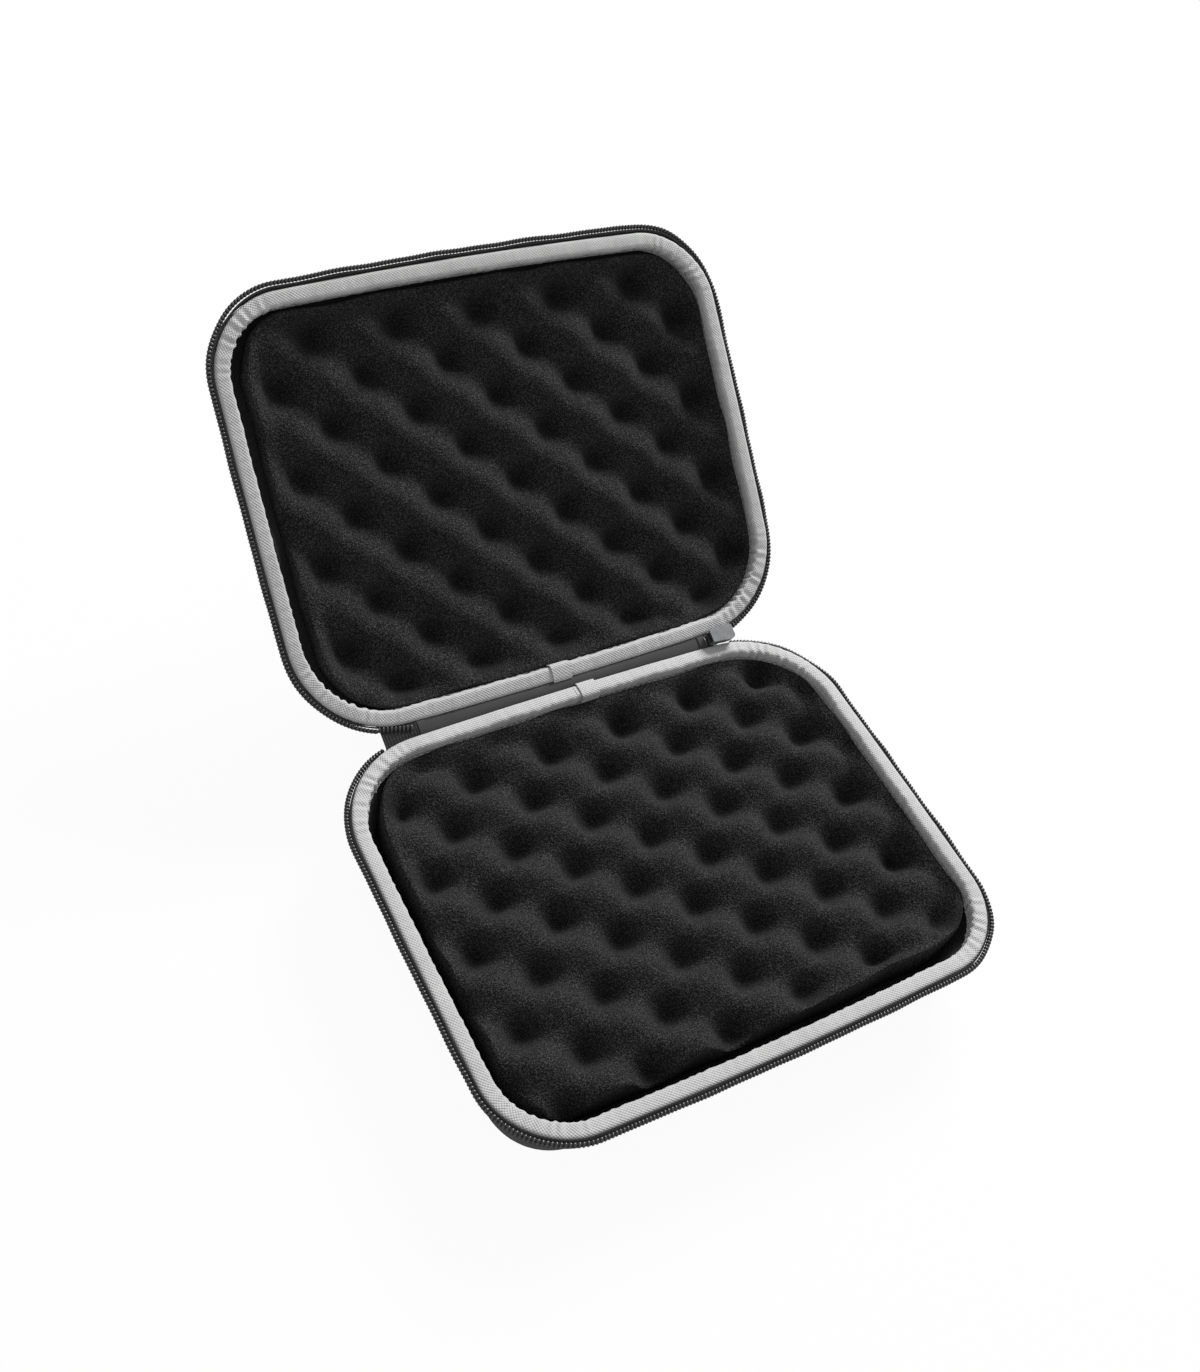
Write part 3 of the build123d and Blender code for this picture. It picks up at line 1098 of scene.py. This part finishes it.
        shape(piece, laid)
        map_cloth(piece, length, girth)
        shape(piece, self.half.wrap)
        pick(piece)
        bpy.ops.object.mode_set(mode="EDIT")
        bpy.ops.mesh.select_all(action="SELECT")
        bpy.ops.mesh.remove_doubles(threshold=0.00001)
        bpy.ops.mesh.select_all(action="DESELECT")
        bpy.ops.mesh.select_non_manifold()
        bpy.ops.mesh.edge_face_add()
        bpy.ops.object.mode_set(mode="OBJECT")
        tidy(piece, angle=angle)
        return piece

    def barred(self, p: np.ndarray) -> np.ndarray:
        """Square a ball up into one turn of the coil: a bar with a head at its free top."""
        q = np.sign(p) * np.abs(p) ** self.turn_square
        head = 1 + self.turn_head * np.clip(q[:, 2], 0, 1)
        q = q * (np.array([self.turn_width, self.turn_depth, self.turn_height]) / 2)
        q[:, 0] *= head
        q[:, 0] += self.turn_slant * self.turn_pitch * q[:, 1] / self.turn_depth
        return q

    def coil(self, finishes: Finishes) -> None:
        """Repeat the turn along the rim."""
        start, length = self.run()
        piece = ball(f"{self.half.name}_coil_turns")
        shape(piece, self.barred)
        count = int(length / self.turn_pitch)
        repeat(piece, count, length / count)
        first = np.array([start + length / count / 2, self.turn_out, self.turn_rise])
        shape(piece, lambda p: p + first)
        shape(piece, lambda p: self.lean(p, np.ones(len(p))))
        shape(piece, self.half.wrap)
        smooth(piece)
        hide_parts(f"{self.half.name}_zip_coil")
        dress(piece, finishes.coil, self.half.name)


@dataclass
class FoamPad:
    """Egg-crate foam cut to the tray, with round pits on a square lattice."""

    half: Half
    pitch: tuple
    seat: tuple
    turn: float
    peak: float
    pit: float
    left_gap: float
    front_gap: float
    pit_power: float = 1.12
    wall_gap: float = 7.2 * MM
    below_rim: float = 4.3 * MM
    floor: float = 5.3 * MM
    least_pad: float = 0.7 * MM
    skirt: float = 15.0 * MM
    skirt_inset: float = 0.6 * MM
    foot_inset: float = 9.5 * MM
    edge_round: float = 1.6 * MM
    edge_fade: float = 9.0 * MM
    edge_level: float = 1.15
    inset_share: float = 0.8
    corner_reach: float = 17.0 * MM
    corner_rise: float = 5.0 * MM
    columns: int = 260
    rows: int = 210

    @property
    def middle(self) -> float:
        """The relief's middle level above the half's floor."""
        return self.half.depth - self.below_rim - self.peak

    def relief(self, x: np.ndarray, y: np.ndarray) -> tuple[np.ndarray, np.ndarray]:
        """Work out the relief above its middle level.

        Args:
            x: Places along the half's own X.
            y: Places along the half's own Y.

        Returns:
            The height, in metres, and how deep into a pit each place is, from 0 to 1.
        """
        cos, sin = math.cos(math.radians(self.turn)), math.sin(math.radians(self.turn))
        x_off, y_off = x - self.seat[0], y - self.seat[1]
        u = x_off * cos + y_off * sin
        v = y_off * cos - x_off * sin
        wave = np.cos(2 * np.pi * u / self.pitch[0]) * np.cos(2 * np.pi * v / self.pitch[1])
        rise = np.clip(-wave, 0, 1) * self.peak
        hollow = np.clip(wave, 0, 1)
        fall = hollow**self.pit_power * self.pit
        uneven = ripple(x + 0.6 * y, ((0.061, 0.25 * MM), (0.043, 0.2 * MM)), 2.2)
        return rise - fall + uneven, hollow

    def outline(self, turn: np.ndarray) -> np.ndarray:
        """The distance from the half's middle to the cut edge in each direction.

        Args:
            turn: Directions in the half's own plane, in radians.

        Returns:
            The distances, in metres.
        """
        along = np.linspace(0, self.half.rim.perimeter, 2400, endpoint=False)
        right, hinge = self.half.facing(along)
        gap = self.wall_gap + self.left_gap * np.clip(-right, 0, 1) ** 2
        gap = gap + self.front_gap * np.clip(-hinge, 0, 1) ** 2
        gap = gap + ripple(along, ((0.047, 0.35 * MM), (0.031, 0.25 * MM)), 0.9)
        edge = self.half.rim.at(along, -gap, np.zeros_like(along))
        angle = np.arctan2(edge[:, 1], edge[:, 0])
        order = np.argsort(angle)
        reach = np.hypot(edge[:, 0], edge[:, 1])
        return np.interp(turn, angle[order], reach[order], period=2 * np.pi)

    def outlined(self, flat: np.ndarray) -> np.ndarray:
        """Spread the unit grid over the cut outline and raise its relief."""
        a, b = flat[:, 0] * 2 - 1, flat[:, 1] * 2 - 1
        ring = np.maximum(np.abs(a), np.abs(b))
        turn = np.arctan2(b * self.half.rim.length, a * self.half.rim.width)
        reach = self.outline(turn)
        x = reach * ring * np.cos(turn)
        y = reach * ring * np.sin(turn)
        inset = reach * (1 - ring) * self.inset_share
        height = self.hold_edge(self.relief(x, y)[0], turn, inset)
        z = self.middle + height
        fillet = np.clip(1 - inset / self.corner_reach, 0, 1) * self.corner_rise
        low = self.floor + self.least_pad + fillet
        z = (z + low + np.sqrt((z - low) ** 2 + MM**2)) / 2
        edge = np.clip(1 - inset / self.edge_round, 0, 1)
        z = z - self.edge_round * (1 - np.sqrt(np.maximum(1 - edge**2, 0)))
        return np.column_stack([x, y, z])

    def hold_edge(self, height: np.ndarray, turn: np.ndarray, inset: np.ndarray) -> np.ndarray:
        """Press the relief up against the binding where the foam fills the tray.

        Args:
            height: The relief above its middle level.
            turn: The direction of each place from the half's middle, in radians.
            inset: The distance of each place from the cut edge.

        Returns:
            The relief with its held sides.
        """
        fade = np.clip(inset / self.edge_fade, 0, 1)
        right, hinge = self.half.own_x(1.0) * np.cos(turn), np.sin(turn)
        other = np.abs(hinge) if self.half.is_lid else hinge
        side = np.clip(1.6 * np.maximum(right, other * 1.2), 0, 1)
        held = side * (1 - fade * fade * (3 - 2 * fade))
        return height * (1 - held) + held * self.edge_level * self.peak

    def shade_pits(self, piece: Piece) -> None:
        """Note how deep each place is in a pit or how low it lies on the cut wall, as the mask of
        the painted shade in the foam's finish.
        """
        points = points_of(piece)
        _, hollow = self.relief(points[:, 0], points[:, 1])
        # Painted shade also on the lower part of the cut wall, below the pits' level.
        wall = np.clip((self.middle - self.pit * 0.75 - points[:, 2]) / (2 * MM), 0, 1)
        layer = piece.data.attributes.new("hollow", "FLOAT", "POINT")
        layer.data.foreach_set("value", np.maximum(hollow, wall))

    def build(self, finishes: Finishes) -> None:
        """Make the pad.

        Args:
            finishes: The case's materials.
        """
        piece = grid_patch(f"{self.half.name}_egg_crate_foam", self.columns, self.rows)
        shape(piece, self.outlined)
        self.add_walls(piece)
        self.shade_pits(piece)
        shape(piece, self.half.stand)
        tidy(piece, angle=50)
        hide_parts(f"{self.half.name}_foam")
        dress(piece, finishes.foam, self.half.name)

    def add_walls(self, piece: Piece) -> None:
        """Draw the cut sides down to the lining's floor and close the pad below."""
        pick(piece)
        bpy.ops.object.mode_set(mode="EDIT")
        bpy.ops.mesh.select_all(action="DESELECT")
        bpy.ops.mesh.select_non_manifold()
        under = self.middle - self.pit
        skirt = min(self.skirt, under - MM)
        levels = ((under, 0.0), (skirt, self.skirt_inset), (self.floor, self.foot_inset))
        for level, inset in levels:
            bpy.ops.mesh.extrude_region_move()
            bpy.ops.object.mode_set(mode="OBJECT")
            chosen = np.empty(len(piece.data.vertices), dtype=bool)
            piece.data.vertices.foreach_get("select", chosen)
            points = points_of(piece)
            points[chosen, 2] = level
            reach = np.linalg.norm(points[chosen, :2], axis=1, keepdims=True)
            points[chosen, :2] *= 1 - inset / reach
            piece.data.vertices.foreach_set("co", points.ravel())
            bpy.ops.object.mode_set(mode="EDIT")
        bpy.ops.mesh.edge_face_add()
        bpy.ops.object.mode_set(mode="OBJECT")


@dataclass
class HingeRibbon:
    """A ribbon that is sewn to both hinge walls and folds in the valley between them."""

    rim: Rim
    hinge: Hinge
    name: str
    slot: str
    columns: int
    nodes: tuple
    left: float
    right: float
    wall_out: float
    wall_drop: float
    wall_top: float
    valley: float
    thick: float
    rows: int = 24
    round_share: float = 0.4
    least_across: float = 0.3 * MM
    blend_reach: float = 1.3 * MM

    def section(self, x: np.ndarray, share: np.ndarray) -> tuple[np.ndarray, np.ndarray]:
        """Place the ribbon across the fold, from the base's wall to the lid's.

        Args:
            x: Distance along the hinge.
            share: 0 at the base's edge, 1 at the lid's edge.

        Returns:
            Outward distance and distance across, in the fold's own axes.
        """
        half = self.hinge.opening / 2
        bend = self.round_share
        back = -self.hinge.behind + self.rim.hinge_shift(x) + self.wall_out
        side = np.where(share < 0.5, -1.0, 1.0)
        near = np.abs(share - 0.5) * 2
        wall_share = np.clip((near - bend) / (1 - bend), 0, 1)
        up = self.hinge.rim_gap / 2 + self.wall_top + (self.wall_drop - self.wall_top) * wall_share
        wall_out = back * math.cos(half) + up * math.sin(half)
        wall_across = np.maximum(up * math.cos(half) - back * math.sin(half), self.least_across)
        turn = np.clip(near / bend, 0, 1) * np.pi / 2
        across = wall_across * np.where(near < bend, np.sin(turn), 1)
        out = wall_out + np.where(near < bend, (self.valley - wall_out) * np.cos(turn), 0)
        return out, side * across

    def laid(self, flat: np.ndarray) -> np.ndarray:
        """Lay the unit grid along the hinge."""
        x = self.left + (self.right - self.left) * flat[:, 0]
        out, across = self.section(x, flat[:, 1])
        return self.hinge.fold_points(self.rim, x, out, across)

    def build(self, finishes: Finishes) -> None:
        """Make the ribbon.

        Args:
            finishes: The case's materials.
        """
        piece = grid_patch(self.name, self.columns, self.rows)
        shape(piece, self.laid)
        map_cloth(piece, self.right - self.left, 2 * self.wall_drop + self.hinge.rim_gap)
        apply_modifier(piece, "SOLIDIFY", thickness=self.thick, offset=0.0)
        tidy(piece, angle=50)
        if self.nodes:
            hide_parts(*self.nodes)
        cloth = finishes.band if self.slot == "hinge_cloth" else finishes.gusset
        dress(piece, cloth, "")
        line = self.hinge.line(self.rim)
        reach = self.hinge.fold_axes()[2] * self.blend_reach
        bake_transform(piece)


INNER_BAND = ("hinge_band_inner",)
OUTER_BANDS = ("hinge_band_outer", "base_hinge_margin", "lid_hinge_margin")
LEFT_TAPE = ("left_zip_end_tape",)
# Name, slot, columns, replaced nodes and the sizes from left to thick in millimetres
RIBBONS = (
    ("hinge_ribbon_inner", "hinge_cloth", 220, INNER_BAND, -74.0, 73.0, 0.15, 3.0, 1.4, 3.9, 0.5),
    ("hinge_ribbon_outer", "hinge_cloth", 220, OUTER_BANDS, -74.0, 73.0, 0.6, 7.0, 1.4, 5.2, 0.8),
    ("left_zip_gusset", "zip_tape", 40, LEFT_TAPE, -90.7, -74.3, 0.3, 4.5, 1.2, 3.9, 0.8),
    ("right_zip_gusset", "zip_tape", 8, (), 73.3, 76.2, 0.3, 4.5, 1.2, 3.0, 0.6),
    ("left_ribbon_hem", "hinge_cloth", 8, (), -74.0, -70.4, 0.0, 2.6, 1.4, 3.3, 0.5),
    ("right_ribbon_hem", "hinge_cloth", 8, (), 69.4, 73.0, 0.0, 2.6, 1.4, 3.3, 0.5),
)


@dataclass
class ClosedZipEnd:
    """The last turns of the coil, which run down the folded tape left of the ribbon."""

    rim: Rim
    hinge: Hinge
    start: tuple = (-91.0 * MM, 3.6 * MM)
    stop: tuple = (-75.5 * MM, 0.4 * MM)
    out: float = 3.0 * MM
    turn_size: tuple = (0.95 * MM, 2.4 * MM, 1.3 * MM)
    turn_pitch: float = 1.55 * MM
    turn_square: float = 0.65
    turn_slant: float = 0.35

    def build(self, finishes: Finishes) -> None:
        """Make the row of turns.

        Args:
            finishes: The case's materials.
        """
        piece = ball("left_zip_end_turns")
        size = np.array(self.turn_size) / 2
        shape(piece, lambda p: np.sign(p) * np.abs(p) ** self.turn_square * size)
        run = self.stop[0] - self.start[0]
        count = int(run / self.turn_pitch)
        repeat(piece, count, run / count)

        def laid(p: np.ndarray) -> np.ndarray:
            """Lay the row down the folded tape."""
            share = p[:, 0] / run
            across = self.start[1] + (self.stop[1] - self.start[1]) * share + p[:, 1]
            x = self.start[0] + p[:, 0] + self.turn_slant * p[:, 1]
            return self.hinge.fold_points(self.rim, x, self.out + p[:, 2], across)

        shape(piece, laid)
        smooth(piece)
        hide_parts("left_zip_end_coil")
        dress(piece, finishes.coil, "hinge_fold")


def finish_carried(finishes: Finishes) -> None:
    """Give the nodes whose own shape stays their materials.

    Args:
        finishes: The case's materials.
    """
    table = {
        finishes.shell: ("base_shell", "lid_shell"),
        finishes.lining: ("base_lining", "lid_lining"),
        finishes.tape: ("right_zip_end_tape",),
        finishes.metal: ("slider_body", "slider_bridge", "slider_pull_tab"),
    }
    for material, names in table.items():
        for name in names:
            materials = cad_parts[name].data.materials
            materials.clear()
            materials.append(material)
            LOG.info("%s: finish %s", name, material.name)


# The studio


@dataclass
class Studio:
    """The pale floor, the lamps and the camera at the photograph's view."""

    azimuth: float = -42.756
    elevation: float = 50.149
    roll: float = 18.305
    distance: float = 0.62531
    target: tuple = (-0.01511, 0.06, 0.0869)
    focal_share: float = 1531.64 / 1372
    sensor: float = 36.0
    floor_size: float = 12.0
    floor_below: float = 0.2 * MM
    floor_tone: float = 0.86
    floor_glow: float = 0.95
    sky_strength: float = 0.3
    # Name, place, aim, side of its square face and power in watts
    lamps: tuple = (
        ("key_softbox", (1.1, 0.85, 1.15), (0.0, 0.08, 0.05), 0.6, 37.0),
        ("fill_softbox", (-0.7, -0.6, 1.2), (0.0, 0.05, 0.05), 1.2, 3.2),
    )

    def camera(self) -> None:
        """Stand the camera where the photograph was taken from."""
        az, el, roll = (math.radians(v) for v in (self.azimuth, self.elevation, self.roll))
        back = Vector((math.sin(az) * math.cos(el), -math.cos(az) * math.cos(el), math.sin(el)))
        right = (-back).cross(Vector((0, 0, 1))).normalized()
        up = right.cross(-back)
        right_turned = right * math.cos(roll) + up * math.sin(roll)
        up_turned = up * math.cos(roll) - right * math.sin(roll)
        turn = Matrix((right_turned, up_turned, back)).transposed().to_4x4()
        deselect()
        bpy.ops.object.camera_add()
        camera = bpy.context.object
        camera.name = "view_camera"
        camera.matrix_world = Matrix.Translation(Vector(self.target) + back * self.distance) @ turn
        camera.data.sensor_fit = "VERTICAL"
        camera.data.sensor_height = self.sensor
        camera.data.lens = self.focal_share * self.sensor
        camera.data.clip_start = 0.01
        bpy.context.scene.camera = camera

    def floor(self) -> None:
        """Lay a pale floor that looks white to the camera and keeps a soft shadow."""
        deselect()
        bpy.ops.mesh.primitive_plane_add(size=self.floor_size, location=(0, 0, -self.floor_below))
        floor = bpy.context.object
        floor.name = "studio_floor"
        shader = Shader("floor_white")
        matt = shader.node("BsdfDiffuse")
        matt.inputs["Color"].default_value = (*(self.floor_tone,) * 3, 1)
        glow = shader.node("Emission")
        glow.inputs["Color"].default_value = (1, 1, 1, 1)
        seen = shader.node("LightPath").outputs["Is Camera Ray"]
        mixed = shader.node("MixShader")
        shader.link(shader.maths("MULTIPLY", seen, self.floor_glow), mixed.inputs[0])
        shader.link(matt.outputs[0], mixed.inputs[1])
        shader.link(glow.outputs[0], mixed.inputs[2])
        shader.link(mixed.outputs[0], shader.output.inputs["Surface"])
        floor.data.materials.append(shader.material)

    def lamp(self, name: str, place: tuple, aim: tuple, size: float, power: float) -> None:
        """Hang one softbox.

        Args:
            name: The lamp's name.
            place: Where it hangs, in metres.
            aim: The point it faces.
            size: The side of its square face, in metres.
            power: Its power, in watts.
        """
        deselect()
        bpy.ops.object.light_add(type="AREA", location=place)
        lamp = bpy.context.object
        lamp.name = name
        lamp.data.size = size
        lamp.data.energy = power
        way = Vector(aim) - Vector(place)
        lamp.rotation_euler = way.to_track_quat("-Z", "Y").to_euler()

    def sky(self) -> None:
        """Light the whole studio softly, and show pure white to the camera."""
        world = bpy.context.scene.world or bpy.data.worlds.new("studio")
        bpy.context.scene.world = world
        world.use_nodes = True
        tree = world.node_tree
        tree.nodes.clear()
        output = tree.nodes.new("ShaderNodeOutputWorld")
        mixed = tree.nodes.new("ShaderNodeMixShader")
        seen = tree.nodes.new("ShaderNodeLightPath")
        tree.links.new(seen.outputs["Is Camera Ray"], mixed.inputs[0])
        for index, strength in ((1, self.sky_strength), (2, 1.0)):
            light = tree.nodes.new("ShaderNodeBackground")
            light.inputs["Color"].default_value = (1, 1, 1, 1)
            light.inputs["Strength"].default_value = strength
            tree.links.new(light.outputs[0], mixed.inputs[index])
        tree.links.new(mixed.outputs[0], output.inputs["Surface"])

    def build(self) -> None:
        """Set up the whole studio."""
        self.floor()
        self.sky()
        for lamp in self.lamps:
            self.lamp(*lamp)
        self.camera()


def build_case(finishes: Finishes) -> None:
    """Make every piece of the case.

    Args:
        finishes: The case's materials.
    """
    rim = Rim()
    hinge = Hinge()
    base = Half("base", hinge.base_depth, rim, hinge, False)
    lid = Half("lid", hinge.lid_depth, rim, hinge, True)
    for half in (base, lid):
        Binding(half).build(finishes)
        ZipRow(half).build(finishes)
    FoamPad(
        base,
        pitch=(38.4 * MM, 36.7 * MM),
        seat=(-16.7 * MM, -1.5 * MM),
        turn=2.66,
        peak=5.3 * MM,
        pit=9.2 * MM,
        left_gap=6.6 * MM,
        front_gap=7.2 * MM,
    ).build(finishes)
    FoamPad(
        lid,
        pitch=(39.3 * MM, 38.0 * MM),
        seat=(-6.8 * MM, 3.1 * MM),
        turn=0.0,
        peak=5.0 * MM,
        pit=7.6 * MM,
        left_gap=7.0 * MM,
        front_gap=1.5 * MM,
    ).build(finishes)
    for name, slot, columns, nodes, *sizes in RIBBONS:
        in_metres = (size * MM for size in sizes)
        HingeRibbon(rim, hinge, name, slot, columns, nodes, *in_metres).build(finishes)
    ClosedZipEnd(rim, hinge).build(finishes)
    finish_carried(finishes)


def main() -> None:
    """Build the case and its studio."""
    logging.basicConfig(level=logging.INFO, format="%(name)s: %(message)s")
    bpy.context.scene.view_settings.view_transform = "Standard"
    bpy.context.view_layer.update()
    finishes = Finishes()
    Studio().build()
    build_case(finishes)


if __name__ == "__main__":
    main()
